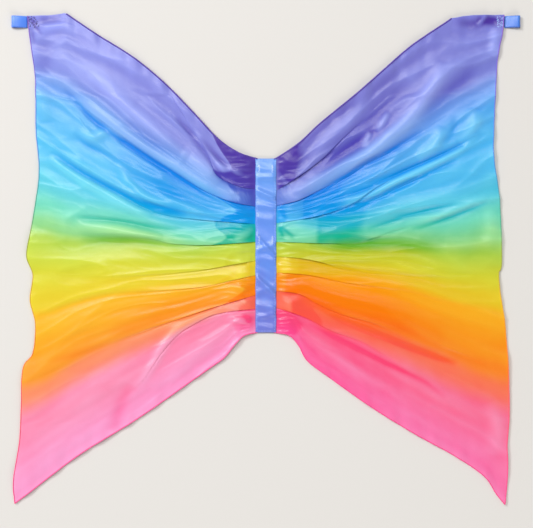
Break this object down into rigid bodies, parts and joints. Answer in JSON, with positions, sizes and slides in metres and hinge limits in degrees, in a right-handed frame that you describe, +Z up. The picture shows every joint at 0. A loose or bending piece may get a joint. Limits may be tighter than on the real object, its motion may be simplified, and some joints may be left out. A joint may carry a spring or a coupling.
{
  "type": "fairy wings",
  "caption": "Costume wings of rainbow-dyed silk gathered under a satin spine ribbon, with wrist loops at the top corners and elastic arm straps behind.",
  "frame": {"origin": "middle of the outline's bounding box, on the plane the wings lie on", "axes": "+X across the wings to the right, as the dyed face is seen; +Y to the wrist loops and the wearer's head; +Z up, out of the dyed face"},
  "size_m": [0.93, 0.898, 0.008],
  "materials": {
    "dyed_silk": "glossy light silk, dyed in bands",
    "rolled_hem": "tightly rolled silk edge",
    "satin_ribbon": "satin",
    "sewing_thread": "polyester thread",
    "elastic_tape": "ribbed elastic",
    "label_tape": "plain woven tape"
  },
  "bodies": {
    "spine": {"spine_front_ribbon": "satin_ribbon", "spine_gathered_silk": "dyed_silk", "spine_back_ribbon": "satin_ribbon", "spine_front_stitching": "sewing_thread", "spine_back_stitching": "sewing_thread", "care_label": "label_tape", "left_strap_tacks": "sewing_thread", "right_strap_tacks": "sewing_thread"},
    "left_wing": {"left_wing_silk": "dyed_silk", "left_top_hem": "rolled_hem", "left_outer_hem": "rolled_hem", "left_bottom_hem": "rolled_hem", "left_corner_fold": "dyed_silk", "left_loop_tack": "sewing_thread"},
    "right_wing": {"right_wing_silk": "dyed_silk", "right_top_hem": "rolled_hem", "right_outer_hem": "rolled_hem", "right_bottom_hem": "rolled_hem", "right_corner_fold": "dyed_silk", "right_loop_tack": "sewing_thread"},
    "left_loop": {"left_wrist_loop": "satin_ribbon"},
    "right_loop": {"right_wrist_loop": "satin_ribbon"},
    "left_strap": {"left_arm_strap": "elastic_tape"},
    "right_strap": {"right_arm_strap": "elastic_tape"}
  },
  "joints": [
    {"name": "left_wing_fold", "type": "hinge", "parent": "spine", "child": "left_wing", "pos_m": [-0.019, 0.0245, 0.0035], "axis": [0, 1, 0], "range_deg": [0, 90]},
    {"name": "right_wing_fold", "type": "hinge", "parent": "spine", "child": "right_wing", "pos_m": [0.019, 0.0245, 0.0035], "axis": [0, -1, 0], "range_deg": [0, 90]},
    {"name": "left_loop_turn", "type": "hinge", "parent": "left_wing", "child": "left_loop", "pos_m": [-0.4363, 0.4335, 0.0012], "axis": [0, -1, 0], "range_deg": [-30, 90]},
    {"name": "right_loop_turn", "type": "hinge", "parent": "right_wing", "child": "right_loop", "pos_m": [0.4363, 0.4335, 0.0012], "axis": [0, 1, 0], "range_deg": [-30, 90]},
    {"name": "left_strap_swing", "type": "hinge", "parent": "spine", "child": "left_strap", "pos_m": [-0.012, 0.1, 0.00045], "axis": [0, -1, 0], "range_deg": [0, 90]},
    {"name": "right_strap_swing", "type": "hinge", "parent": "spine", "child": "right_strap", "pos_m": [0.012, 0.1, 0.00045], "axis": [0, 1, 0], "range_deg": [0, 90]}
  ]
}
